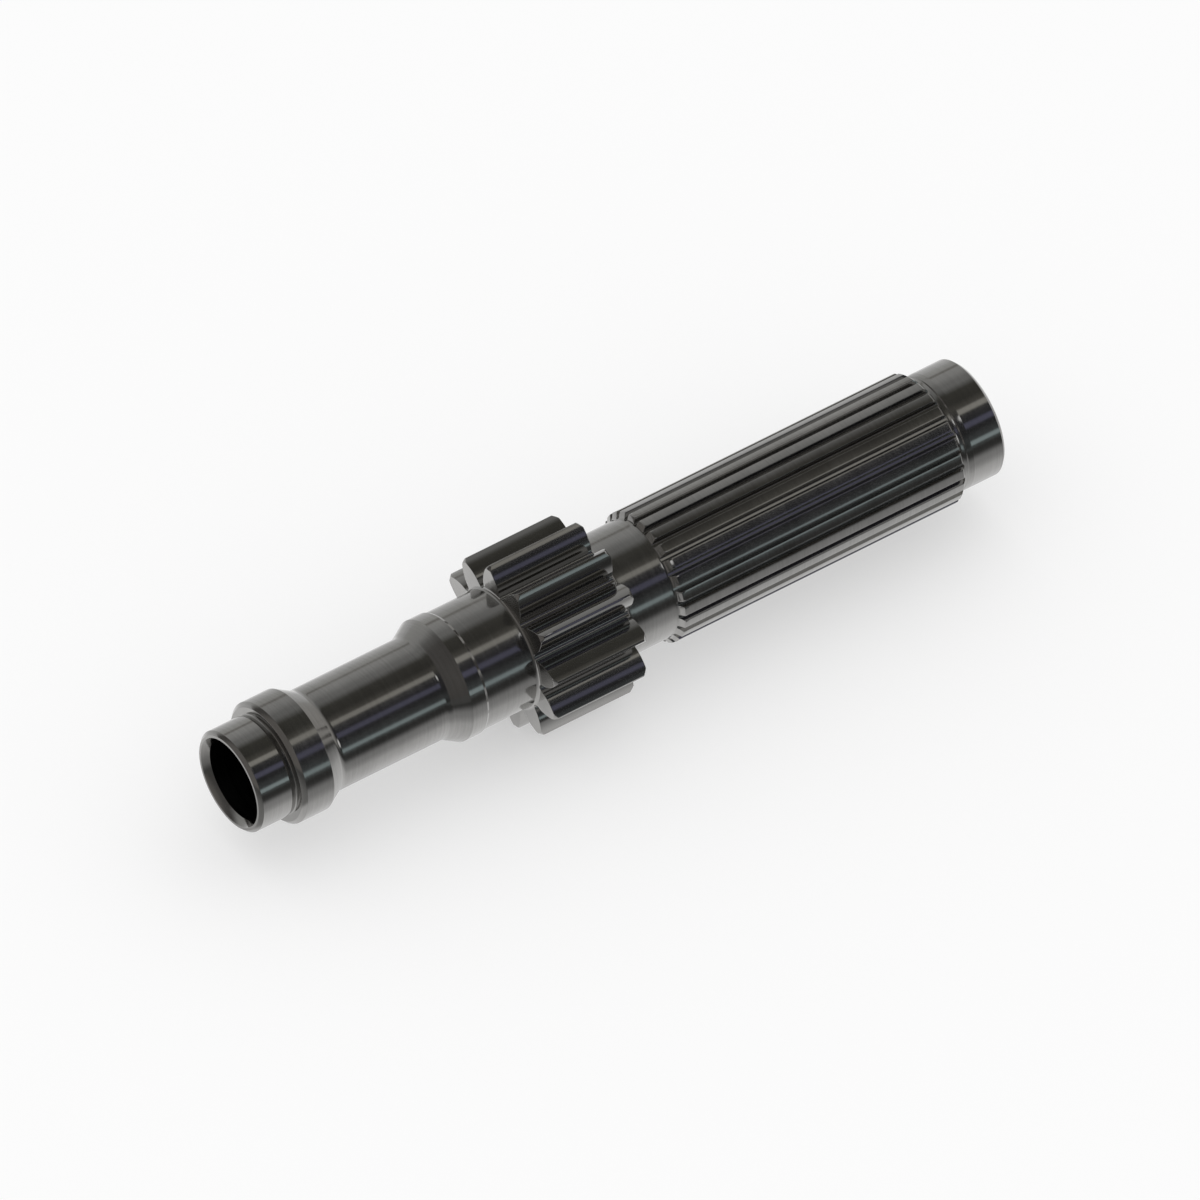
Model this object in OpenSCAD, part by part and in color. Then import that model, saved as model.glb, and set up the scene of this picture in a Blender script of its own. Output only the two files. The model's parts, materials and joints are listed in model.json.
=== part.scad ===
// Hollow transmission shaft with a cut spur gear and an external spline.
// The axis is +X and the origin is the centre of the near end face. A gear gap faces straight down (-Z),
// so the shaft lies on two tooth tips.

/* [Near bearing seat] */
// Diameter of the bearing seat at the near end
near_seat_d = 25; // [24.8:0.1:26.4]
// Length of the near bearing seat, up to its relief groove
near_seat_l = 8.7; // [4:0.1:20]
// Width of the 45 degree edge at the near end
near_edge = 0.85; // [0.2:0.05:0.95]

/* [Relief groove] */
// Width of the groove between the near bearing seat and the collar
relief_w = 1.45; // [0.8:0.05:3]
// Depth of the relief groove below the near bearing seat
relief_depth = 0.35; // [0.1:0.05:1]
// Corner radius where the relief groove meets the collar
relief_r = 0.4; // [0.1:0.05:0.6]

/* [Collar] */
// Diameter of the collar that stops the near bearing
collar_d = 30; // [29.6:0.1:36]
// Width of the collar at its full diameter, with its edge
collar_w = 8.2; // [3:0.1:20]
// Width of the collar's 45 degree edge
collar_edge = 1; // [0.2:0.05:1.2]

/* [Body] */
// Diameter of the slim body between the collar and the hub
body_d = 25; // [23:0.1:29]
// Length of the slim body between the feet of its two cones
body_l = 29.4; // [10:0.1:80]
// Angle of the cones against the shaft's axis
cone_angle = 30; // [15:1:60]
// Radius that blends each cone into the body
body_fillet = 3; // [0.5:0.1:6]

/* [Hub] */
// Diameter of the ground band in front of the hub
band_d = 30; // [29.5:0.1:34]
// Width of the ground band
band_w = 3.85; // [1:0.05:12]
// Diameter of the hub that carries the gear
hub_d = 29.2; // [26:0.1:29.4]
// Length of the hub from the ground band's step to the gear
hub_l = 13.6; // [6:0.1:40]

/* [Gear] */
// Number of gear teeth
gear_teeth = 12; // [11:1:16]
// Module of the gear
gear_module = 3; // [2.75:0.25:4]
// Pressure angle of the gear
pressure_angle = 20; // [18:0.5:25]
// Profile shift, as a multiple of the module
profile_shift = 0.25; // [0.1:0.05:0.4]
// Radius at the tip of the cutter, which leaves the tooth roots rounded
cutter_tip_r = 1.38; // [0.3:0.02:1.6]
// Width of the gear along the shaft
gear_w = 25.35; // [8:0.05:60]
// Width of the 45 degree edge on the near ends of the tooth tips
gear_near_edge = 0.8; // [0.2:0.05:1.5]
// Width of the 45 degree edge on the far ends of the tooth tips
gear_far_edge = 1; // [0.2:0.05:1.5]
// Radius that blends the hub and the neck into the gear's end faces
gear_fillet = 1.55; // [0.3:0.05:2.5]

/* [Neck] */
// Diameter of the neck between the gear and the spline
neck_d = 29.2; // [26:0.1:29.2]
// Length of the neck, up to the foot of the spline's lead-in
neck_l = 12.9; // [7:0.1:50]

/* [Spline] */
// Number of spline teeth
spline_teeth = 25; // [16:1:30]
// Outside diameter of the spline
spline_d = 32.25; // [31.5:0.05:36]
// Diameter at the bottom of the spline's gaps
spline_root_d = 29.3; // [29.25:0.05:30.5]
// Length of the spline, from the foot of its lead-in to its far face
spline_l = 78; // [20:0.5:160]
// Width of one spline gap at the outside diameter
spline_gap = 1.64; // [1.2:0.02:2]
// Angle of a spline flank against its gap's centre line
spline_flank = 14; // [5:0.5:16]
// Corner radius at the bottom of a spline gap
spline_corner_r = 0.2; // [0.05:0.05:0.3]
// Angle of the spline's lead-in against the shaft's axis
lead_angle = 60; // [30:1:75]
// Radius at the foot of the spline's lead-in
lead_fillet = 1; // [0.2:0.1:2]
// Width of the 45 degree edge at the spline's far end
spline_edge = 1; // [0.2:0.05:1.2]
// Turn of the spline against the gear
spline_turn = 270; // [0:0.5:360]

/* [Far bearing seat] */
// Diameter of the bearing seat at the far end
far_seat_d = 28.6; // [28.2:0.1:29.2]
// Length of the far bearing seat
far_seat_l = 8.7; // [4:0.1:20]
// Width of the 45 degree edge at the far end
far_edge = 0.85; // [0.2:0.05:1.2]
// Width of the groove between the spline and the far bearing seat
undercut_w = 1.8; // [1:0.05:3]
// Diameter at the bottom of that groove
undercut_d = 27.8; // [26:0.1:27.8]
// Corner radius where that groove meets the spline
undercut_r = 0.6; // [0.1:0.05:0.8]
// Diameter at the start of the slight taper that leads onto the far bearing seat
taper_d = 28.3; // [27.9:0.05:28.5]
// Length of that taper
taper_l = 1.4; // [0.5:0.1:5]

/* [Bore] */
// Diameter of the through bore
bore_d = 20; // [8:0.5:20.5]
// Radial width of the countersink at each end of the bore
countersink_w = 1.02; // [0.2:0.02:1.1]
// Full angle of the countersinks
countersink_angle = 60; // [60:1:120]

/* [Hidden] */
$fn = 96;

// Number of straight steps along an involute flank, a rounded root and a small corner
flank_steps = 9;
root_steps = 8;
corner_steps = 3;
// How far the cutters run past what they cut
clear = 1;
// Largest part of a wall that a fillet may take up
fillet_share = 0.45;
steel = [0.36, 0.36, 0.35];

// Places along the shaft, each measured from the near end face
function cone_l(big_d, small_d) = (big_d - small_d) / 2 / tan(cone_angle);
groove_x = near_seat_l;
collar_x = groove_x + relief_w;
near_cone_x = collar_x + collar_w;
body_x = near_cone_x + cone_l(collar_d, body_d);
far_cone_x = body_x + body_l;
band_x = far_cone_x + cone_l(band_d, body_d);
band_end_x = band_x + band_w;
hub_x = band_end_x + cone_l(band_d, hub_d);
gear_x = hub_x + hub_l;
gear_end_x = gear_x + gear_w;
spline_x = gear_end_x + neck_l;
spline_full_x = spline_x + (spline_d - neck_d) / 2 / tan(lead_angle);
spline_end_x = spline_x + spline_l;
taper_x = spline_end_x + undercut_w;
far_seat_x = taper_x + taper_l;
end_x = far_seat_x + far_seat_l;
countersink_l = countersink_w / tan(countersink_angle / 2);

// Gear radii
pitch_r = gear_module * gear_teeth / 2;
base_r = pitch_r * cos(pressure_angle);
tip_r = pitch_r + (1 + profile_shift) * gear_module;

// Straight-sided rack cutter that generates the gear: its depth, its largest tip radius, and the place of
// the tip radius's centre beside the cutter tooth's middle and below the pitch line
cutter_depth = 1.25 * gear_module;
cutter_half_w = PI * gear_module / 4;
full_tip_r = (cutter_half_w - cutter_depth * tan(pressure_angle)) * cos(pressure_angle)
    / (1 - sin(pressure_angle));
cut_r = min(cutter_tip_r, full_tip_r);
cut_side = cutter_half_w - (cutter_depth - cut_r) * tan(pressure_angle) - cut_r / cos(pressure_angle);
cut_drop = cutter_depth - cut_r - profile_shift * gear_module;

function unit(v) = v / norm(v);
function polar(r, angle) = r * [cos(angle), sin(angle)];
function mirrored(points) = [for (i = [len(points) - 1 : -1 : 0]) [points[i].x, -points[i].y]];

// The arc that rounds corner b between a and c: first tangent point, centre, second tangent point, radius
function corner_arc(a, b, c, r) =
    let (u = unit(a - b),
         v = unit(c - b),
         half = acos(u * v) / 2,
         reach = min(r / tan(half), fillet_share * min(norm(a - b), norm(c - b))))
    [b + u * reach, b + unit(u + v) * reach / cos(half), b + v * reach, reach * tan(half)];

// Half of a gear gap's angle at radius r, from the involute of the base circle
function involute(angle) = tan(angle) * 180 / PI - angle;
function gap_half(r) =
    let (angle = acos(min(1, base_r / r)))
    90 / gear_teeth - 2 * profile_shift * tan(pressure_angle) / gear_teeth * 180 / PI
    - involute(pressure_angle) + involute(angle);

// Point that the cutter's rounded tip leaves on the root when its normal leans at this angle
function root_point(lean) =
    let (side = cut_drop / tan(lean),
         reach = cut_drop / sin(lean) + cut_r,
         roll = (side - cut_side) / pitch_r * 180 / PI,
         x = pitch_r - sin(lean) * reach,
         y = cos(lean) * reach)
    [x * cos(roll) + y * sin(roll), y * cos(roll) - x * sin(roll)];

// Outline of the turned blank: place along the shaft, radius and fillet at each corner
outline = [
    [0, near_seat_d / 2 - near_edge, 0],
    [near_edge, near_seat_d / 2, 0],
    [groove_x, near_seat_d / 2, 0],
    [groove_x, near_seat_d / 2 - relief_depth, 0],
    [collar_x, near_seat_d / 2 - relief_depth, relief_r],
    [collar_x, collar_d / 2 - collar_edge, 0],
    [collar_x + collar_edge, collar_d / 2, 0],
    [near_cone_x, collar_d / 2, 0],
    [body_x, body_d / 2, body_fillet],
    [far_cone_x, body_d / 2, body_fillet],
    [band_x, band_d / 2, 0],
    [band_end_x, band_d / 2, 0],
    [hub_x, hub_d / 2, 0],
    [gear_x, hub_d / 2, gear_fillet],
    [gear_x, tip_r - gear_near_edge, 0],
    [gear_x + gear_near_edge, tip_r, 0],
    [gear_end_x - gear_far_edge, tip_r, 0],
    [gear_end_x, tip_r - gear_far_edge, 0],
    [gear_end_x, neck_d / 2, gear_fillet],
    [spline_x, neck_d / 2, lead_fillet],
    [spline_full_x, spline_d / 2, 0],
    [spline_end_x - spline_edge, spline_d / 2, 0],
    [spline_end_x, spline_d / 2 - spline_edge, 0],
    [spline_end_x, undercut_d / 2, undercut_r],
    [taper_x - (taper_d - undercut_d) / 2, undercut_d / 2, 0],
    [taper_x, taper_d / 2, 0],
    [far_seat_x, far_seat_d / 2, 0],
    [end_x - far_edge, far_seat_d / 2, 0],
    [end_x, far_seat_d / 2 - far_edge, 0],
    [end_x, bore_d / 2 + countersink_w, 0],
    [end_x - countersink_l, bore_d / 2, 0],
    [countersink_l, bore_d / 2, 0],
    [0, bore_d / 2 + countersink_w, 0]
];
function corner_at(i) = [outline[i][1], outline[i][0]];
function arc_at(i) = corner_arc(corner_at(i - 1), corner_at(i), corner_at(i + 1), outline[i][2]);

// Half section of the turned blank, radius across and shaft upwards
module blank_section() {
    difference() {
        polygon([
            for (i = [0 : len(outline) - 1])
                each outline[i][2] > 0 ? [for (k = [0 : 2]) arc_at(i)[k]] : [corner_at(i)]
        ]);
        for (i = [0 : len(outline) - 1])
            if (outline[i][2] > 0)
                translate(arc_at(i)[1]) circle(arc_at(i)[3]);
    }
}

// One gap of the gear in cross section, about +X: the rounded root, and the involute flanks above it
module gear_gap_section() {
    root = [for (i = [0 : root_steps]) root_point(90 + (pressure_angle - 90) * i / root_steps)];
    flank_r = max(base_r, norm(root[root_steps]));
    flank = [
        for (i = [0 : flank_steps])
            let (r = flank_r + (tip_r + clear / 2 - flank_r) * i / flank_steps) polar(r, gap_half(r))
    ];
    rim = polar(tip_r + gear_module, gap_half(tip_r + clear / 2));
    polygon(concat(root, mirrored(root)));
    polygon(concat([[root[0].x + clear / 2, 0]], flank, [rim], mirrored([rim]), mirrored(flank)));
}

// One gap of the spline in cross section, about +X: straight flanks and small corner radii
module spline_gap_section() {
    root_x = sqrt(pow(spline_root_d / 2, 2) - pow(spline_gap / 4, 2));
    rim_x = spline_d / 2 + clear;
    mouth_x = sqrt(pow(spline_d / 2, 2) - pow(spline_gap / 2, 2));
    rim = [rim_x, spline_gap / 2 + (rim_x - mouth_x) * tan(spline_flank)];
    foot = [root_x, spline_gap / 2 - (mouth_x - root_x) * tan(spline_flank)];
    arc = corner_arc(rim, foot, [root_x, 0], spline_corner_r);
    side = [
        rim,
        for (i = [0 : corner_steps])
            arc[1] + polar(arc[3], 90 + spline_flank + (90 - spline_flank) * i / corner_steps)
    ];
    polygon(concat(side, mirrored(side)));
}

// Like gaps around the shaft, cut along it from one place to another
module gaps_around(count, turn, from_x, to_x) {
    translate([0, 0, from_x])
        linear_extrude(to_x - from_x)
            for (i = [0 : count - 1])
                rotate(turn + i * 360 / count) children();
}

module shaft() {
    color(steel)
        rotate([0, 90, 0])
            difference() {
                rotate_extrude() blank_section();
                gaps_around(gear_teeth, 0, gear_x - gear_fillet - clear, gear_end_x + gear_fillet + clear)
                    gear_gap_section();
                gaps_around(spline_teeth, spline_turn, spline_x - lead_fillet - clear, spline_end_x + clear)
                    spline_gap_section();
            }
}

shaft();
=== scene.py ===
import json
import math

import bpy
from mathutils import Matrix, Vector


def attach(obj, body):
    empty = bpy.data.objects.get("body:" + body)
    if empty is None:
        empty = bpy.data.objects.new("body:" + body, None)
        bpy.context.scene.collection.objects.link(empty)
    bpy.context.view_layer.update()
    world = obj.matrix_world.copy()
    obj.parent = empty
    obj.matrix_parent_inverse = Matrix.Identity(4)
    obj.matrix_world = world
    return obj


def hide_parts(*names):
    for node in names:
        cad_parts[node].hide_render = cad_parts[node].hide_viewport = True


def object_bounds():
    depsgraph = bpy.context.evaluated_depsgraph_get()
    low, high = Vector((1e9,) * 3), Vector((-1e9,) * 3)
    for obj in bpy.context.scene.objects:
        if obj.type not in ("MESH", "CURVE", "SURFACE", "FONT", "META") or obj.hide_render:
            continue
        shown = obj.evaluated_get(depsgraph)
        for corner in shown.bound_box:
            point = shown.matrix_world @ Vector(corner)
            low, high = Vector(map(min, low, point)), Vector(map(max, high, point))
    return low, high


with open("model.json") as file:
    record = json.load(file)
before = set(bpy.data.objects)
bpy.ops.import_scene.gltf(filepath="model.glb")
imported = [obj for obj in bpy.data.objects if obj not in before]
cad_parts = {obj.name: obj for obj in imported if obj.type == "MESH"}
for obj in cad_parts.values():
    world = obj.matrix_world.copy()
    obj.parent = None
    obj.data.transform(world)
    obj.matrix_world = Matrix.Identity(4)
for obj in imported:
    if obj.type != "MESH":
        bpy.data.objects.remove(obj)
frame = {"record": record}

# A hollow transmission shaft that lies on two gear teeth. Its axis is +X and its near end face is at x = 0.
# Lengths in the dictionaries are in millimetres and angles in degrees. Angles round the shaft count from +Z
# towards -Y.

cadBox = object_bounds()
mm = .001
nodeName = "shaft"
mounts = {mount["name"]: mount for mount in frame["record"]["mounts"]}


# The turned form, which the lathe leaves before the gear and the spline are cut

turned = {
    "nearSeatR": mounts["near_seat"]["dims"]["r_mm"],
    "nearSeatLength": 8.7,
    "endEdge": .85,
    "reliefWidth": 1.45,
    "reliefDepth": .35,
    "reliefFillet": .4,
    "collarR": 15,
    "collarWidth": 8.2,
    "collarEdge": 1,
    "bodyR": 12.5,
    "bodyLength": 29.4,
    "bodyFillet": 3,
    "coneAngle": 30,
    "bandR": 15,
    "bandWidth": 3.85,
    "hubR": 14.6,
    "hubLength": 13.6,
    "neckLength": 12.9,
    "undercutR": 13.9,
    "undercutWidth": 1.8,
    "undercutFillet": .6,
    "taperR": 14.15,
    "taperLength": 1.4,
    "farSeatR": mounts["far_seat"]["dims"]["r_mm"],
    "boreR": mounts["bore"]["dims"]["r_mm"],
    "countersinkWidth": 1.02,
    "countersinkAngle": 30,
    "sectors": 12,
    "columns": 25,
    "brokenEdge": .12,      # a deburred edge, which catches a thin line of light
    "arcSteps": 6,
    "edgeSteps": 2,
}
gear = {
    "teeth": 12,
    "module": 3,
    "pressureAngle": 27,
    "shift": .25,
    "dedendum": 1.25,       # in modules
    "cutterTipR": .66,
    "width": 25.35,
    "nearEdge": .8,
    "farEdge": 1,
    "fillet": 1.55,
    "tipRound": .12,
    "tipRelief": .55,       # how far down from the tip the flank is straight, and how much more it leans
    "reliefLean": 5.5,
    "endRound": .14,
    "gapAt": 0,
    # half a tooth has 2 columns more than these, as many as a turned sector, so that the skins join
    "columns": {"root": 8, "flank": 11, "round": 2, "land": 2},
    "lengths": 6,
}
spline = {
    "teeth": 25,
    "tipR": 16.125,
    "rootR": 14.65,
    "length": 78,
    "gap": 1.64,
    "flankAngle": 14,
    "cornerR": .2,
    "leadAngle": 60,
    "leadFillet": 1,
    "farEdge": 1,
    "tipRound": .1,
    "endRound": .1,
    "gapAt": 90,
    "columns": {"bottom": 2, "corner": 3, "flank": 2, "round": 2, "land": 3},
    "lengths": 8,
}
skin = {
    "plainStrip": .15,      # length of each of the two plain strips at either end of the teeth
    "margin": .3,           # bare length between a fillet and those strips
    "undercutMargin": .1,   # the same at the undercut, which has less room
    "boreJoin": 4,          # where the two ends' bore walls meet
    "runOn": 1,             # how far an outline of the teeth runs on past its last edge
    "meetSteps": 3,         # rows over the small edge where a column meets the cut
    "cornerShare": .45,     # largest share of a stretch that a rounding may take up
    "weldDistance": .0008,
    "normalWeight": 80,
}
finishes = {"turned": 0, "ground": 1, "hobbed": 2, "bored": 3}     # each one's place in materials


def places():
    # every station along the shaft, from the near end face
    t = turned
    slope = math.tan(math.radians(t["coneAngle"]))
    at = {"groove": t["nearSeatLength"]}
    at["collar"] = at["groove"] + t["reliefWidth"]
    at["nearCone"] = at["collar"] + t["collarWidth"]
    at["body"] = at["nearCone"] + (t["collarR"] - t["bodyR"]) / slope
    at["farCone"] = at["body"] + t["bodyLength"]
    at["band"] = at["farCone"] + (t["bandR"] - t["bodyR"]) / slope
    at["bandEnd"] = at["band"] + t["bandWidth"]
    at["hub"] = at["bandEnd"] + (t["bandR"] - t["hubR"]) / slope
    at["gear"] = at["hub"] + t["hubLength"]
    at["gearEnd"] = at["gear"] + gear["width"]
    at["spline"] = at["gearEnd"] + t["neckLength"]
    lead = (spline["tipR"] - t["hubR"]) / math.tan(math.radians(spline["leadAngle"]))
    at["splineFull"] = at["spline"] + lead
    at["splineEnd"] = at["spline"] + spline["length"]
    at["taper"] = at["splineEnd"] + t["undercutWidth"]
    at["farSeat"] = at["taper"] + t["taperLength"]
    at["end"] = (cadBox[1].x - cadBox[0].x) / mm
    at["countersink"] = t["countersinkWidth"] / math.tan(math.radians(t["countersinkAngle"]))
    return at


at = places()
gearTipR = gear["module"] * (gear["teeth"] / 2 + 1 + gear["shift"])


def cornerPoints(a, b, c, radius, steps):
    # points of the arc that rounds corner b between a and c
    a, b, c = Vector(a), Vector(b), Vector(c)
    toA, toC = (a - b).normalized(), (c - b).normalized()
    half = math.acos(max(-1, min(1, toA.dot(toC)))) / 2
    room = skin["cornerShare"] * min((a - b).length, (c - b).length)
    reach = min(radius / math.tan(half), room)
    radius = reach * math.tan(half)
    centre = b + (toA + toC).normalized() * reach / math.cos(half)
    first, last = b + toA * reach - centre, b + toC * reach - centre
    full = math.atan2(first.x * last.y - first.y * last.x, first.dot(last))
    points = []
    for i in range(steps + 1):
        turn = full * i / steps
        x = first.x * math.cos(turn) - first.y * math.sin(turn)
        y = first.x * math.sin(turn) + first.y * math.cos(turn)
        points.append((centre.x + x, centre.y + y))
    return points


def roundedPath(corners):
    # corners are (place, radius, fillet, finish of the stretch that follows); no fillet is a broken edge
    path = [(corners[0][0], corners[0][1], corners[0][3])]
    for before, corner, after in zip(corners, corners[1:], corners[2:]):
        fillet = corner[2] or turned["brokenEdge"]
        steps = turned["arcSteps"] if corner[2] else turned["edgeSteps"]
        points = cornerPoints(before[:2], corner[:2], after[:2], fillet, steps)
        path += [(x, r, "turned") for x, r in points[:-1]] + [(*points[-1], corner[3])]
    return path + [(corners[-1][0], corners[-1][1], corners[-1][3])]


# One tooth across, as (angle, radius) from the middle of a gap to the middle of the next

def gearTooth():
    g, steps = gear, gear["columns"]
    pressure = math.radians(g["pressureAngle"])
    pitchR = g["module"] * g["teeth"] / 2
    baseR = pitchR * math.cos(pressure)
    depth = g["dedendum"] * g["module"]
    halfWidth = math.pi * g["module"] / 4
    fullTip = (halfWidth - depth * math.tan(pressure)) * math.cos(pressure) / (1 - math.sin(pressure))
    tipR = min(g["cutterTipR"], fullTip)
    side = halfWidth - (depth - tipR) * math.tan(pressure) - tipR / math.cos(pressure)
    drop = depth - tipR - g["shift"] * g["module"]

    def rootPoint(lean):
        # where the rounded tip of the cutter leaves the root
        reach = drop / math.sin(lean) + tipR
        roll = (drop / math.tan(lean) - side) / pitchR
        x, y = pitchR - math.sin(lean) * reach, math.cos(lean) * reach
        return x * math.cos(roll) + y * math.sin(roll), y * math.cos(roll) - x * math.sin(roll)

    def flankPoint(radius):
        lean = math.acos(min(1, baseR / radius))
        angle = math.pi / 2 / g["teeth"] - 2 * g["shift"] * math.tan(pressure) / g["teeth"]
        angle += math.tan(lean) - lean - math.tan(pressure) + pressure
        return radius * math.cos(angle), radius * math.sin(angle)

    root = [rootPoint(math.pi / 2 + (pressure - math.pi / 2) * i / steps["root"])
            for i in range(steps["root"] + 1)]
    flankR = max(baseR, math.hypot(*root[-1]))
    pitch = math.pi / g["teeth"]
    reliefR = gearTipR - g["tipRelief"]
    hair = .01          # a short step down the flank, which gives its lean
    low, high = flankPoint(reliefR - hair), flankPoint(reliefR)
    heading = math.atan2(high[1] - low[1], high[0] - low[0]) + math.radians(g["reliefLean"])
    reach = g["tipRelief"] / math.cos(heading - math.atan2(high[1], high[0]))
    tip = high[0] + math.cos(heading) * reach, high[1] + math.sin(heading) * reach
    land = tip[0] - tip[1] / 10, tip[1] + tip[0] / 10    # any point to the side gives the land's direction
    rounding = cornerPoints(high, tip, land, g["tipRound"], steps["round"])
    flank = [flankPoint(flankR + (reliefR - flankR) * i / steps["flank"])
             for i in range(1, steps["flank"] + 1)]
    half = [(root[0][0], 0)] + root + flank + rounding
    return wholeTooth(half, gearTipR, pitch, steps["land"])


def splineTooth():
    s, steps = spline, spline["columns"]
    lean = math.tan(math.radians(s["flankAngle"]))
    bottomX = math.sqrt(s["rootR"] ** 2 - (s["gap"] / 4) ** 2)
    mouthX = math.sqrt(s["tipR"] ** 2 - (s["gap"] / 2) ** 2)
    foot = bottomX, s["gap"] / 2 - (mouthX - bottomX) * lean
    mouth = mouthX, s["gap"] / 2
    pitch = math.pi / s["teeth"]
    middle = s["tipR"] * math.cos(pitch), s["tipR"] * math.sin(pitch)
    corner = cornerPoints((bottomX, 0), foot, mouth, s["cornerR"], steps["corner"])
    rounding = cornerPoints(foot, mouth, middle, s["tipRound"], steps["round"])
    bottom = [(bottomX, corner[0][1] * i / steps["bottom"]) for i in range(steps["bottom"])]
    flank = [tuple(Vector(corner[-1]).lerp(Vector(rounding[0]), i / steps["flank"]))
             for i in range(1, steps["flank"])]
    return wholeTooth(bottom + corner + flank + rounding, s["tipR"], pitch, steps["land"])


def wholeTooth(half, tipR, pitch, landSteps):
    # the flank as angle and radius, then the land, then the same the other way round
    columns = [(math.atan2(y, x), min(tipR, math.hypot(x, y))) for x, y in half]
    columns[-1] = (columns[-1][0], tipR)
    first = columns[-1][0]
    columns += [(first + (pitch - first) * i / landSteps, tipR) for i in range(1, landSteps + 1)]
    columns += [(2 * pitch - angle, radius) for angle, radius in reversed(columns[:-1])]
    return columns


# Sectors: a slice of the shaft's skin, which Geometry Nodes repeat around it

def skinMesh(name, grid):
    # grid holds rows of (angle, place, radius), each with the finish of the strip that follows it; a row
    # with half the points is joined by triangles
    vertices, starts, faces, marks = [], [], [], []
    for row, finish in grid:
        starts.append(len(vertices))
        vertices += [(x * mm, -r * math.sin(angle) * mm, r * math.cos(angle) * mm) for angle, x, r in row]
    for k in range(len(grid) - 1):
        low, high = starts[k], starts[k + 1]
        lowCount, highCount = len(grid[k][0]) - 1, len(grid[k + 1][0]) - 1
        finish = grid[k][1]
        for j in range(min(lowCount, highCount)):
            mark = finish[j] if isinstance(finish, list) else finish
            if lowCount == highCount:
                new = [(low + j, low + j + 1, high + j + 1, high + j)]
            elif lowCount < highCount:
                fine = high + 2 * j
                new = [(low + j, fine + 1, fine), (low + j, low + j + 1, fine + 1),
                       (low + j + 1, fine + 2, fine + 1)]
            else:
                fine = low + 2 * j
                new = [(fine, fine + 1, high + j), (fine + 1, high + j + 1, high + j),
                       (fine + 1, fine + 2, high + j + 1)]
            faces += new
            marks += [finishes[mark]] * len(new)
    mesh = bpy.data.meshes.new(name)
    mesh.from_pydata(vertices, [], faces)
    mesh.attributes.new("finish", "INT", "FACE").data.foreach_set("value", marks)
    mesh.shade_smooth()
    return mesh


def evenAngles(start, span, count):
    return [math.radians(start + span * j / count) for j in range(count + 1)]


def turnedSector(name, corners):
    angles = evenAngles(0, 360 / turned["sectors"], turned["columns"])
    return skinMesh(name, [([(a, x, r) for a in angles], finish) for x, r, finish in roundedPath(corners)])


def alongPath(path, distance):
    # point at this distance along a path
    for (ax, ar), (bx, br) in zip(path, path[1:]):
        step = math.hypot(bx - ax, br - ar)
        if distance <= step:
            return ax + (bx - ax) * distance / step, ar + (br - ar) * distance / step
        distance -= step
    return path[-1]


def climb(path, cutR, rounding):
    # a column's way up one end of the toothing, until it meets the cut at cutR over a small rounded edge
    run = 0
    for (ax, ar), (bx, br) in zip(path, path[1:]):
        step = math.hypot(bx - ax, br - ar)
        if br > cutR > ar:
            run += step * (cutR - ar) / (br - ar)
            break
        run += step
    whole = cutR >= path[-1][1]
    start = run if whole else max(0, run - rounding)
    foot, meet = alongPath(path, start), alongPath(path, run)
    points, distance = [], 0
    for i, point in enumerate(path):
        distance += math.hypot(point[0] - path[i - 1][0], point[1] - path[i - 1][1]) if i else 0
        points.append(point if distance < start else foot)
    inwards = rounding if path[-1][0] > path[0][0] else -rounding
    out = meet if whole else (meet[0] + inwards, cutR)
    for k in range(1, skin["meetSteps"] + 1):
        t = k / skin["meetSteps"]
        points.append(tuple((1 - t) ** 2 * foot[i] + 2 * t * (1 - t) * meet[i] + t * t * out[i]
                            for i in (0, 1)))
    return points


def toothSector(name, tooth, piece, up, down):
    # up and down are the turned outline at the two ends, both from outside to the teeth's middle
    rounding, lengths, plain = piece["endRound"], piece["lengths"], skin["plainStrip"]
    turn = math.radians(piece["gapAt"])
    span = math.degrees(tooth[-1][0])
    count = len(tooth) - 1
    coarse = evenAngles(piece["gapAt"], span, count // 2)
    fine = evenAngles(piece["gapAt"], span, count)
    near = [climb(up, cut, rounding) for angle, cut in tooth]
    far = [climb(down, cut, rounding)[::-1] for angle, cut in tooth]
    tipR = max(cut for angle, cut in tooth)
    hobbed = ["turned" if min(a[1], b[1]) >= tipR else "hobbed" for a, b in zip(tooth, tooth[1:])]
    startX, startR = up[0]
    endX, endR = down[0]
    grid = [([(a, startX - 2 * plain, startR) for a in coarse], "turned"),
            ([(a, startX - plain, startR) for a in fine], "turned")]
    climbs = len(near[0])
    for k in range(climbs):
        row = [(angle + turn, *near[j][k]) for j, (angle, cut) in enumerate(tooth)]
        grid.append((row, "turned" if k < climbs - skin["meetSteps"] - 1 else hobbed))
    for k in range(1, lengths):
        row = []
        for j, (angle, cut) in enumerate(tooth):
            a, b = near[j][-1], far[j][0]
            row.append((angle + turn, a[0] + (b[0] - a[0]) * k / lengths, a[1]))
        grid.append((row, hobbed))
    for k in range(climbs):
        row = [(angle + turn, *far[j][k]) for j, (angle, cut) in enumerate(tooth)]
        grid.append((row, hobbed if k < skin["meetSteps"] else "turned"))
    grid += [([(a, endX + plain, endR) for a in fine], "turned"),
             ([(a, endX + 2 * plain, endR) for a in coarse], "turned")]
    return skinMesh(name, grid)


def bareR(corners):
    return [(x, r) for x, r, finish in roundedPath(corners)]


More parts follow.
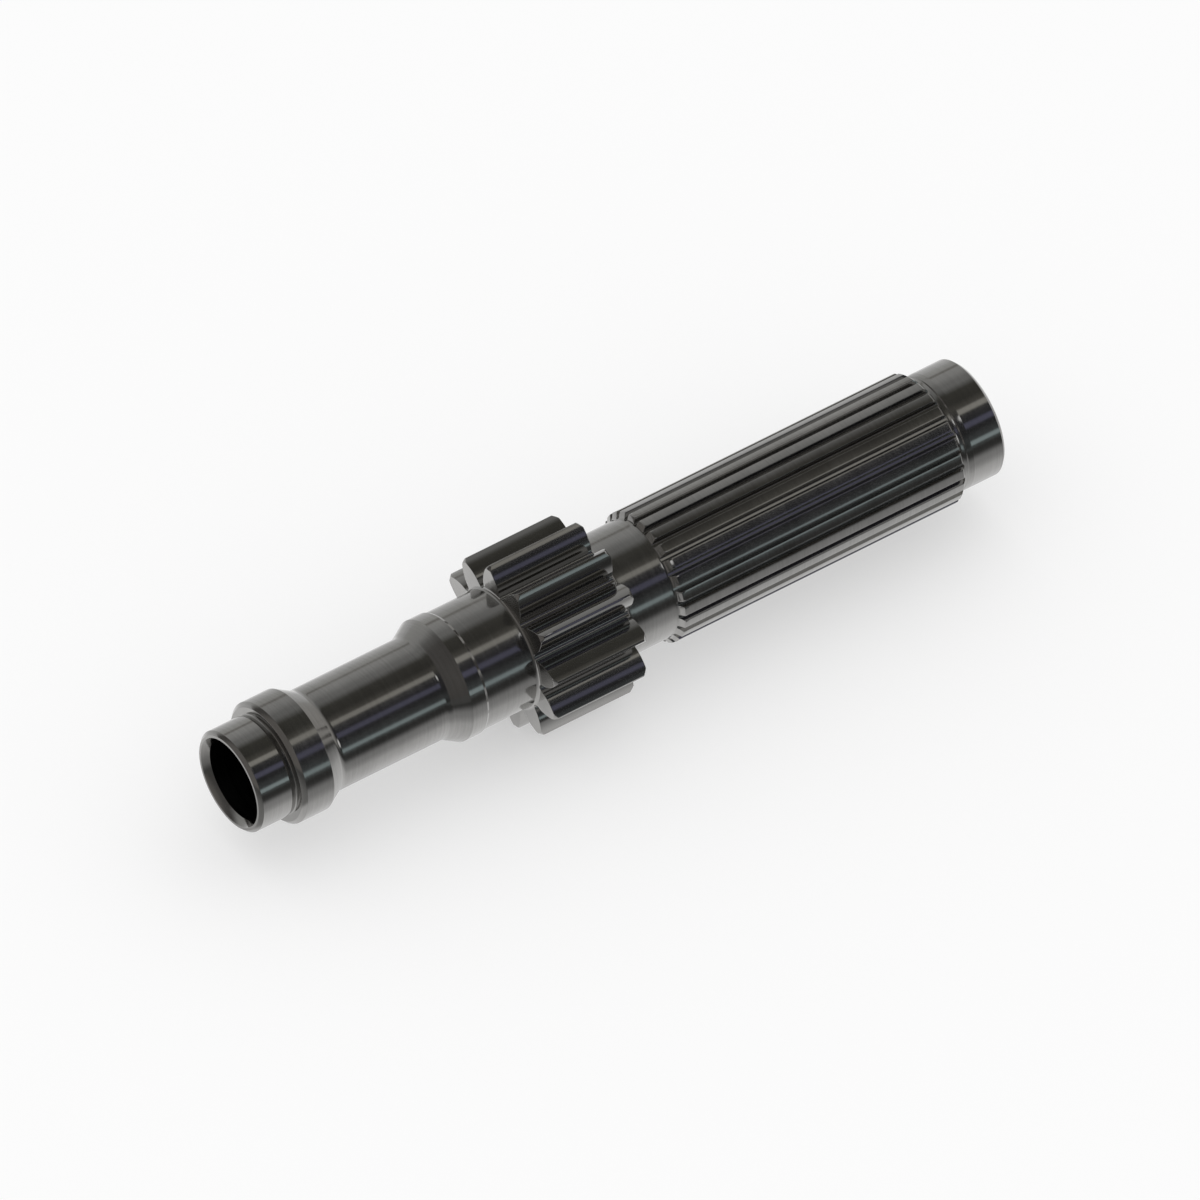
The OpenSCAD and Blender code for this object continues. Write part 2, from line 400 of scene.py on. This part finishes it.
def makeSectors():
    t, g, s = turned, gear, spline
    inside, strips, runOn = skin["boreJoin"], 2 * skin["plainStrip"], skin["runOn"]
    gearStart = at["gear"] - g["fillet"] - skin["margin"]
    gearStop = at["gearEnd"] + g["fillet"] + skin["margin"]
    splineStart = at["spline"] - s["leadFillet"] - skin["margin"]
    splineStop = at["splineEnd"] + t["undercutFillet"] + skin["undercutMargin"]
    near = turnedSector("nearSector", [
        (inside, t["boreR"], 0, "bored"),
        (at["countersink"], t["boreR"], 0, "turned"),
        (0, t["boreR"] + t["countersinkWidth"], 0, "turned"),
        (0, t["nearSeatR"] - t["endEdge"], 0, "turned"),
        (t["endEdge"], t["nearSeatR"], 0, "ground"),
        (at["groove"], t["nearSeatR"], 0, "turned"),
        (at["groove"], t["nearSeatR"] - t["reliefDepth"], 0, "turned"),
        (at["collar"], t["nearSeatR"] - t["reliefDepth"], t["reliefFillet"], "turned"),
        (at["collar"], t["collarR"] - t["collarEdge"], 0, "turned"),
        (at["collar"] + t["collarEdge"], t["collarR"], 0, "turned"),
        (at["nearCone"], t["collarR"], 0, "turned"),
        (at["body"], t["bodyR"], t["bodyFillet"], "turned"),
        (at["farCone"], t["bodyR"], t["bodyFillet"], "turned"),
        (at["band"], t["bandR"], 0, "ground"),
        (at["bandEnd"], t["bandR"], 0, "turned"),
        (at["hub"], t["hubR"], 0, "turned"),
        (gearStart - strips, t["hubR"], 0, "turned"),
    ])
    neck = turnedSector("neckSector", [
        (gearStop + strips, t["hubR"], 0, "turned"),
        (splineStart - strips, t["hubR"], 0, "turned"),
    ])
    far = turnedSector("farSector", [
        (splineStop + strips, t["undercutR"], 0, "turned"),
        (at["taper"] - t["taperR"] + t["undercutR"], t["undercutR"], 0, "turned"),
        (at["taper"], t["taperR"], 0, "turned"),
        (at["farSeat"], t["farSeatR"], 0, "ground"),
        (at["end"] - t["endEdge"], t["farSeatR"], 0, "turned"),
        (at["end"], t["farSeatR"] - t["endEdge"], 0, "turned"),
        (at["end"], t["boreR"] + t["countersinkWidth"], 0, "turned"),
        (at["end"] - at["countersink"], t["boreR"], 0, "bored"),
        (inside, t["boreR"], 0, "bored"),
    ])
    gearMesh = toothSector("gearSector", gearTooth(), gear, bareR([
        (gearStart, t["hubR"], 0, ""),
        (at["gear"], t["hubR"], g["fillet"], ""),
        (at["gear"], gearTipR - g["nearEdge"], 0, ""),
        (at["gear"] + g["nearEdge"], gearTipR, 0, ""),
        (at["gear"] + g["nearEdge"] + runOn, gearTipR, 0, ""),
    ]), bareR([
        (gearStop, t["hubR"], 0, ""),
        (at["gearEnd"], t["hubR"], g["fillet"], ""),
        (at["gearEnd"], gearTipR - g["farEdge"], 0, ""),
        (at["gearEnd"] - g["farEdge"], gearTipR, 0, ""),
        (at["gearEnd"] - g["farEdge"] - runOn, gearTipR, 0, ""),
    ]))
    splineMesh = toothSector("splineSector", splineTooth(), spline, bareR([
        (splineStart, t["hubR"], 0, ""),
        (at["spline"], t["hubR"], s["leadFillet"], ""),
        (at["splineFull"], s["tipR"], 0, ""),
        (at["splineFull"] + runOn, s["tipR"], 0, ""),
    ]), bareR([
        (splineStop, t["undercutR"], 0, ""),
        (at["splineEnd"], t["undercutR"], t["undercutFillet"], ""),
        (at["splineEnd"], s["tipR"] - s["farEdge"], 0, ""),
        (at["splineEnd"] - s["farEdge"], s["tipR"], 0, ""),
        (at["splineEnd"] - s["farEdge"] - runOn, s["tipR"], 0, ""),
    ]))
    return {"Near sector": near, "Neck sector": neck, "Far sector": far, "Gear sector": gearMesh,
            "Spline sector": splineMesh}


# Geometry Nodes set the sectors round the shaft, weld them into one skin and give it its finishes

def addNode(tree, kind, inputs={}, **settings):
    node = tree.nodes.new(kind)
    for name, value in settings.items():
        setattr(node, name, value)
    for name, value in inputs.items():
        if isinstance(value, bpy.types.NodeSocket):
            tree.links.new(value, node.inputs[name])
        else:
            node.inputs[name].default_value = value
    return node


def sectorsRoundShaft(sectors, finishNames):
    tree = bpy.data.node_groups.new("sectorsRoundShaft", "GeometryNodeTree")
    sockets = tree.interface
    sockets.new_socket("Skin", in_out="OUTPUT", socket_type="NodeSocketGeometry")
    for name in sectors:
        sockets.new_socket(name, in_out="INPUT", socket_type="NodeSocketObject")
        sockets.new_socket(name + " count", in_out="INPUT", socket_type="NodeSocketInt")
    sockets.new_socket("Weld distance", in_out="INPUT", socket_type="NodeSocketFloat")
    for name in finishNames:
        sockets.new_socket(name, in_out="INPUT", socket_type="NodeSocketMaterial")
    given = addNode(tree, "NodeGroupInput").outputs
    index = addNode(tree, "GeometryNodeInputIndex").outputs[0]
    join = addNode(tree, "GeometryNodeJoinGeometry")
    for name in sectors:
        count = given[name + " count"]
        info = addNode(tree, "GeometryNodeObjectInfo", {"Object": given[name]})
        points = addNode(tree, "GeometryNodePoints", {"Count": count})
        share = addNode(tree, "ShaderNodeMath", {0: index, 1: count}, operation="DIVIDE")
        angle = addNode(tree, "ShaderNodeMath", {0: share.outputs[0], 1: math.tau}, operation="MULTIPLY")
        turn = addNode(tree, "ShaderNodeCombineXYZ", {"X": angle.outputs[0]})
        copies = addNode(tree, "GeometryNodeInstanceOnPoints", {
            "Points": points.outputs[0], "Instance": info.outputs["Geometry"], "Rotation": turn.outputs[0]})
        tree.links.new(copies.outputs[0], join.inputs[0])
    whole = addNode(tree, "GeometryNodeRealizeInstances", {"Geometry": join.outputs[0]})
    whole = addNode(tree, "GeometryNodeMergeByDistance", {
        "Geometry": whole.outputs[0], "Distance": given["Weld distance"]})
    mark = addNode(tree, "GeometryNodeInputNamedAttribute", {"Name": "finish"}, data_type="INT")
    for number, name in enumerate(finishNames):
        same = addNode(tree, "FunctionNodeCompare", {2: mark.outputs["Attribute"], 3: number},
                       data_type="INT", operation="EQUAL")
        whole = addNode(tree, "GeometryNodeSetMaterial", {
            "Geometry": whole.outputs[0], "Selection": same.outputs[0], "Material": given[name]})
    addNode(tree, "NodeGroupOutput", {0: whole.outputs[0]})
    return tree


def makeShaft(materials):
    counts = {"Near sector": turned["sectors"], "Neck sector": turned["sectors"],
              "Far sector": turned["sectors"], "Gear sector": gear["teeth"],
              "Spline sector": spline["teeth"]}
    holders = {name: bpy.data.objects.new(name, mesh) for name, mesh in makeSectors().items()}
    values = dict(holders)
    values.update({name + " count": count for name, count in counts.items()})
    values["Weld distance"] = skin["weldDistance"] * mm
    values.update(materials)
    carrier = bpy.data.objects.new("carrier", bpy.data.meshes.new("carrier"))
    for helper in [carrier, *holders.values()]:
        bpy.context.scene.collection.objects.link(helper)
    rings = carrier.modifiers.new("sectorsRoundShaft", "NODES")
    rings.node_group = sectorsRoundShaft(list(counts), list(materials))
    for socket in rings.node_group.interface.items_tree:
        if socket.in_out == "INPUT":
            rings[socket.identifier] = values[socket.name]
    # each point's normal leans to its largest faces, so the broken edges stay crisp beside long walls
    carrier.modifiers.new("weighted", "WEIGHTED_NORMAL").weight = skin["normalWeight"]
    evaluated = carrier.evaluated_get(bpy.context.evaluated_depsgraph_get())
    mesh = bpy.data.meshes.new_from_object(evaluated)
    mesh.materials.pop(index=0)     # the carrier's empty slot
    for helper in [carrier, *holders.values()]:
        bpy.data.objects.remove(helper)
    mesh.name = "turnedShaft"
    shaft = bpy.data.objects.new("turnedShaft", mesh)
    bpy.context.scene.collection.objects.link(shaft)
    triangles = sum(len(polygon.vertices) - 2 for polygon in mesh.polygons)
    print("shaft skin:", len(mesh.vertices), "points,", triangles, "triangles")
    return shaft


# Materials

def linear(code):
    # '#rrggbb' as it is seen, turned to the linear colour that a shader takes
    parts = [int(code[i:i + 2], 16) / 255 for i in (1, 3, 5)]
    return [c / 12.92 if c <= .04045 else ((c + .055) / 1.055) ** 2.4 for c in parts] + [1]


steel = {
    # rough: roughness of the dark and the light marks; lay: how far apart the tool's marks lie along the
    # shaft and across it; depth: how deep they are. Real marks lie closer than the picture can show, so
    # these are drawn as coarse as they need to show.
    "turned": {"light": "#b3b2b0", "dark": "#a6a5a3", "rough": (.11, .155), "lay": (.5, 14, 14),
               "depth": .0006},
    "ground": {"light": "#b8b7b5", "dark": "#adacaa", "rough": (.09, .12), "lay": (.3, 30, 30),
               "depth": .0003},
    "hobbed": {"light": "#b0afad", "dark": "#a8a7a5", "rough": (.1, .13), "lay": (60, 1.2, 1.2),
               "depth": .0004},
    # the bore's colours are painted shade, nearly black for the dark inside of the hole
    "bored": {"light": "#3a3a39", "dark": "#2a2a29", "rough": (.3, .42), "lay": (.6, 20, 20),
              "depth": .001},
}
# the marks and the soft cloud over them, in all finishes; low and high are the usual limits of their sum
grain = {"markDetail": 4, "markRoughness": .6, "cloudSize": 9, "cloudDetail": 3, "low": .75, "high": 1.25}


def steelMaterial(name, look):
    material = bpy.data.materials.new(name)
    material.use_nodes = True
    tree = material.node_tree
    tree.nodes.clear()
    place = addNode(tree, "ShaderNodeTexCoord").outputs["Object"]
    lay = addNode(tree, "ShaderNodeMapping", {
        "Vector": place, "Scale": [1 / (size * mm) for size in look["lay"]]})
    streaks = addNode(tree, "ShaderNodeTexNoise", {
        "Vector": lay.outputs[0], "Scale": 1, "Detail": grain["markDetail"],
        "Roughness": grain["markRoughness"]})
    cloud = addNode(tree, "ShaderNodeTexNoise", {
        "Vector": place, "Scale": 1 / (grain["cloudSize"] * mm), "Detail": grain["cloudDetail"]})
    blend = addNode(tree, "ShaderNodeMath", {
        0: streaks.outputs[0], 1: cloud.outputs[0]}, operation="ADD")
    share = addNode(tree, "ShaderNodeMapRange", {
        "Value": blend.outputs[0], "From Min": grain["low"], "From Max": grain["high"]})
    colour = addNode(tree, "ShaderNodeValToRGB", {"Fac": share.outputs[0]})
    colour.color_ramp.elements[0].color = linear(look["dark"])
    colour.color_ramp.elements[1].color = linear(look["light"])
    rough = addNode(tree, "ShaderNodeMapRange", {
        "Value": blend.outputs[0], "From Min": grain["low"], "From Max": grain["high"],
        "To Min": look["rough"][0], "To Max": look["rough"][1]})
    bump = addNode(tree, "ShaderNodeBump", {
        "Height": streaks.outputs[0], "Distance": look["depth"] * mm, "Strength": 1})
    shader = addNode(tree, "ShaderNodeBsdfPrincipled", {
        "Base Color": colour.outputs[0], "Metallic": 1, "Roughness": rough.outputs[0],
        "Normal": bump.outputs[0]})
    addNode(tree, "ShaderNodeOutputMaterial", {"Surface": shader.outputs[0]})
    return material


materials = {
    # carburised steel as the lathe leaves it: rings too fine to see singly, which soften what it reflects
    "turned steel": steelMaterial("turned steel", steel["turned"]),
    # the seats after cylindrical grinding: the brightest and smoothest steel on the part
    "ground steel": steelMaterial("ground steel", steel["ground"]),
    # hobbed flanks and roots: marks along the shaft, a little duller
    "hobbed steel": steelMaterial("hobbed steel", steel["hobbed"]),
    # the bore is painted nearly black: painted shade for the dark inside of the hole
    "black oxide bore": steelMaterial("black oxide bore", steel["bored"]),
}
shaft = makeShaft(materials)
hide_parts(nodeName)
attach(shaft, "root")
print("shaft made")


# Floor, studio and camera

studio = {
    "floorHalf": 3000,      # half the side of the square floor
    "floorColour": "#fafafa",
    "shadowFade": .4,       # share of plain white in the floor for the camera, which lightens the shadow
    # painted glow of the floor, which only the steel's reflections see: colours by place across it in mm,
    # from in front of the shaft to behind it, painted light that falls off into the dark in front and is a
    # little darker right under the shaft
    "floorSeen": [(-330, "#505353"), (-190, "#3c3c3b"), (-120, "#3c3c3b"), (-88, "#444443"),
                  (-74, "#626262"), (-62, "#868686"), (-52, "#9c9c9c"), (-40, "#a4a4a4"),
                  (-33, "#b6b6b6"), (-27, "#cfcfcf"), (-14, "#e4e4e4"), (-8.5, "#e0e0e0"),
                  (-5.6, "#d6d6d6"), (-2.5, "#cacaca"), (8, "#cccccc"), (46, "#f0f0f0"),
                  (80, "#d0d0d0"), (300, "#c4c4c4")],
    # the same painted glow before the near end face, which the countersink sees, and the length over which
    # it sets in
    "floorByNearEnd": [(-120, "#565655"), (-60, "#6a6a69"), (-15, "#969695"), (-1, "#bab9b8"),
                       (14, "#d2d2d2"), (46, "#f0f0f0"), (80, "#d0d0d0"), (300, "#c4c4c4")],
    "nearEndSoft": 4,
    # the studio's walls, by angle round the shaft: grey behind, dark above and in front
    "walls": [(-180, "#c4c4c4"), (-95, "#c0c0c0"), (-80, "#b2b2b0"), (-50, "#a2a2a1"), (-36, "#868685"),
              (-27, "#828281"), (-14, "#45443f"), (6, "#3f3e3a"), (16, "#56544f"), (26, "#4a4946"),
              (36, "#343436"), (65, "#2c2d2e"), (77, "#474a4b"), (86, "#3c3e3e"), (98, "#343433"),
              (120, "#3c3c3b"), (180, "#3c3c3b")],
    # a dull strip in the wall behind and three long soft lamps: middle, half width and soft edge in
    # degrees, and colour
    "lamps": [(-68.5, 2, 3, "#8a8885"), (25, 2.5, 5, "#a3a19b"), (52.3, 2.5, 5, "#5f5f71"),
              (87.5, 2.5, 5.5, "#9eabad")],
    "lampEnds": (.2, .36, .46, .56),    # the X of the direction where they fade in, are full, and fade out
    # the walls at the two ends: the X of the direction where each sets in and is full, and colour
    "endWalls": [(-.32, -.5, "#565452"), (-.6, -.72, "#75726f"), (.7, .95, "#a9a7a4")],
    # small bright lights that only the fillets catch: direction, half width and soft edge in degrees
    "spots": [((.245, -.562, .790), 4.5, 2, "#ffffff"), ((.63, -.728, .27), 6.5, 2, "#ffffff")],
}
camera = {
    "azimuth": -35,
    "elevation": 45,
    "width": 268.8,
    "target": (84.71, -23.94, 28.97),
    "distance": 900,
}


def steppedRamp(tree, value, stops):
    # a Color Ramp over real units
    low, high = stops[0][0], stops[-1][0]
    share = addNode(tree, "ShaderNodeMapRange", {"Value": value, "From Min": low, "From Max": high})
    ramp = addNode(tree, "ShaderNodeValToRGB", {"Fac": share.outputs[0]})
    elements = ramp.color_ramp.elements
    elements[0].color, elements[1].color = linear(stops[0][1]), linear(stops[-1][1])
    for place, colour in stops[1:-1]:
        elements.new((place - low) / (high - low)).color = linear(colour)
    return ramp.outputs[0]


def makeFloor():
    half, z = studio["floorHalf"] * mm, cadBox[0].z
    mesh = bpy.data.meshes.new("floor")
    corners = [(-half, -half, z), (half, -half, z), (half, half, z), (-half, half, z)]
    mesh.from_pydata(corners, [], [(0, 1, 2, 3)])
    floor = bpy.data.objects.new("floor", mesh)
    bpy.context.scene.collection.objects.link(floor)
    material = bpy.data.materials.new("matt white table")
    material.use_nodes = True
    tree = material.node_tree
    tree.nodes.clear()
    place = addNode(tree, "ShaderNodeSeparateXYZ", {
        "Vector": addNode(tree, "ShaderNodeTexCoord").outputs["Object"]})
    across = addNode(tree, "ShaderNodeMath", {0: place.outputs["Y"], 1: 1 / mm}, operation="MULTIPLY")
    # painted light: what the steel's reflections see on the floor is a glow graded by place, not light that
    # falls on it
    seen = steppedRamp(tree, across.outputs[0], studio["floorSeen"])
    glowByNearEnd = steppedRamp(tree, across.outputs[0], studio["floorByNearEnd"])
    byEnd = addNode(tree, "ShaderNodeMapRange", {
        "Value": place.outputs["X"], "From Min": 0, "From Max": -studio["nearEndSoft"] * mm})
    # inputs 6 and 7 of a Mix node are its two colours, and output 2 is the new one
    seen = addNode(tree, "ShaderNodeMix", {
        "Factor": byEnd.outputs[0], 6: seen, 7: glowByNearEnd}, data_type="RGBA").outputs[2]
    path = addNode(tree, "ShaderNodeLightPath")
    paint = addNode(tree, "ShaderNodeBsdfDiffuse", {"Color": linear(studio["floorColour"])})
    white = addNode(tree, "ShaderNodeEmission", {"Color": linear("#ffffff")})
    # the floor glows for reflected rays only, with the painted light from the ramps above
    paintedGlow = addNode(tree, "ShaderNodeEmission", {"Color": seen})
    fade = addNode(tree, "ShaderNodeMath", {
        0: path.outputs["Is Camera Ray"], 1: studio["shadowFade"]}, operation="MULTIPLY")
    plain = addNode(tree, "ShaderNodeMixShader", {
        0: fade.outputs[0], 1: paint.outputs[0], 2: white.outputs[0]})
    surface = addNode(tree, "ShaderNodeMixShader", {
        0: path.outputs["Is Glossy Ray"], 1: plain.outputs[0], 2: paintedGlow.outputs[0]})
    addNode(tree, "ShaderNodeOutputMaterial", {"Surface": surface.outputs[0]})
    mesh.materials.append(material)


def makeStudio():
    world = bpy.data.worlds.new("studio")
    world.use_nodes = True
    bpy.context.scene.world = world
    tree = world.node_tree
    tree.nodes.clear()
    direction = addNode(tree, "ShaderNodeTexCoord").outputs["Generated"]
    way = addNode(tree, "ShaderNodeSeparateXYZ", {"Vector": direction})
    front = addNode(tree, "ShaderNodeMath", {0: way.outputs["Y"], 1: -1}, operation="MULTIPLY")
    angle = addNode(tree, "ShaderNodeMath", {
        0: front.outputs[0], 1: way.outputs["Z"]}, operation="ARCTAN2")
    degrees = addNode(tree, "ShaderNodeMath", {
        0: angle.outputs[0], 1: math.degrees(1)}, operation="MULTIPLY")
    seen = steppedRamp(tree, degrees.outputs[0], studio["walls"])
    fadeIn, full, stillFull, fadeOut = studio["lampEnds"]
    appear = addNode(tree, "ShaderNodeMapRange", {
        "Value": way.outputs["X"], "From Min": fadeIn, "From Max": full})
    vanish = addNode(tree, "ShaderNodeMapRange", {
        "Value": way.outputs["X"], "From Min": fadeOut, "From Max": stillFull})
    along = addNode(tree, "ShaderNodeMath", {
        0: appear.outputs[0], 1: vanish.outputs[0]}, operation="MULTIPLY")
    for middle, half, soft, colour in studio["lamps"]:
        off = addNode(tree, "ShaderNodeMath", {0: degrees.outputs[0], 1: middle}, operation="SUBTRACT")
        off = addNode(tree, "ShaderNodeMath", {0: off.outputs[0]}, operation="ABSOLUTE")
        share = addNode(tree, "ShaderNodeMapRange", {
            "Value": off.outputs[0], "From Min": half + soft, "From Max": half},
            interpolation_type="SMOOTHERSTEP")
        share = addNode(tree, "ShaderNodeMath", {
            0: share.outputs[0], 1: along.outputs[0]}, operation="MULTIPLY")
        seen = addNode(tree, "ShaderNodeMix", {
            "Factor": share.outputs[0], 6: seen, 7: linear(colour)}, data_type="RGBA").outputs[2]
    for begins, whole, colour in studio["endWalls"]:
        share = addNode(tree, "ShaderNodeMapRange", {
            "Value": way.outputs["X"], "From Min": begins, "From Max": whole})
        seen = addNode(tree, "ShaderNodeMix", {
            "Factor": share.outputs[0], 6: seen, 7: linear(colour)}, data_type="RGBA").outputs[2]
    for towards, half, soft, colour in studio["spots"]:
        aligned = addNode(tree, "ShaderNodeVectorMath", {
            0: direction, 1: towards}, operation="DOT_PRODUCT")
        share = addNode(tree, "ShaderNodeMapRange", {
            "Value": aligned.outputs["Value"], "From Min": math.cos(math.radians(half + soft)),
            "From Max": math.cos(math.radians(half))})
        seen = addNode(tree, "ShaderNodeMix", {
            "Factor": share.outputs[0], 6: seen, 7: linear(colour)}, data_type="RGBA").outputs[2]
    lights = addNode(tree, "ShaderNodeBackground", {"Color": seen, "Strength": 1})
    white = addNode(tree, "ShaderNodeBackground", {"Color": linear("#ffffff"), "Strength": 1})
    path = addNode(tree, "ShaderNodeLightPath")
    both = addNode(tree, "ShaderNodeMixShader", {
        0: path.outputs["Is Glossy Ray"], 1: white.outputs[0], 2: lights.outputs[0]})
    addNode(tree, "ShaderNodeOutputWorld", {"Surface": both.outputs[0]})


def makeCamera():
    azimuth, elevation = math.radians(camera["azimuth"]), math.radians(camera["elevation"])
    towards = Vector((math.sin(azimuth) * math.cos(elevation), -math.cos(azimuth) * math.cos(elevation),
                      math.sin(elevation)))
    data = bpy.data.cameras.new("camera")
    data.type = "ORTHO"
    data.ortho_scale = camera["width"] * mm
    eye = bpy.data.objects.new("camera", data)
    eye.location = (Vector(camera["target"]) + towards * camera["distance"]) * mm
    eye.rotation_euler = towards.to_track_quat("Z", "Y").to_euler()
    bpy.context.scene.collection.objects.link(eye)
    bpy.context.scene.camera = eye


makeFloor()
makeStudio()
makeCamera()
bpy.context.scene.view_settings.view_transform = "Standard"
print("studio made")
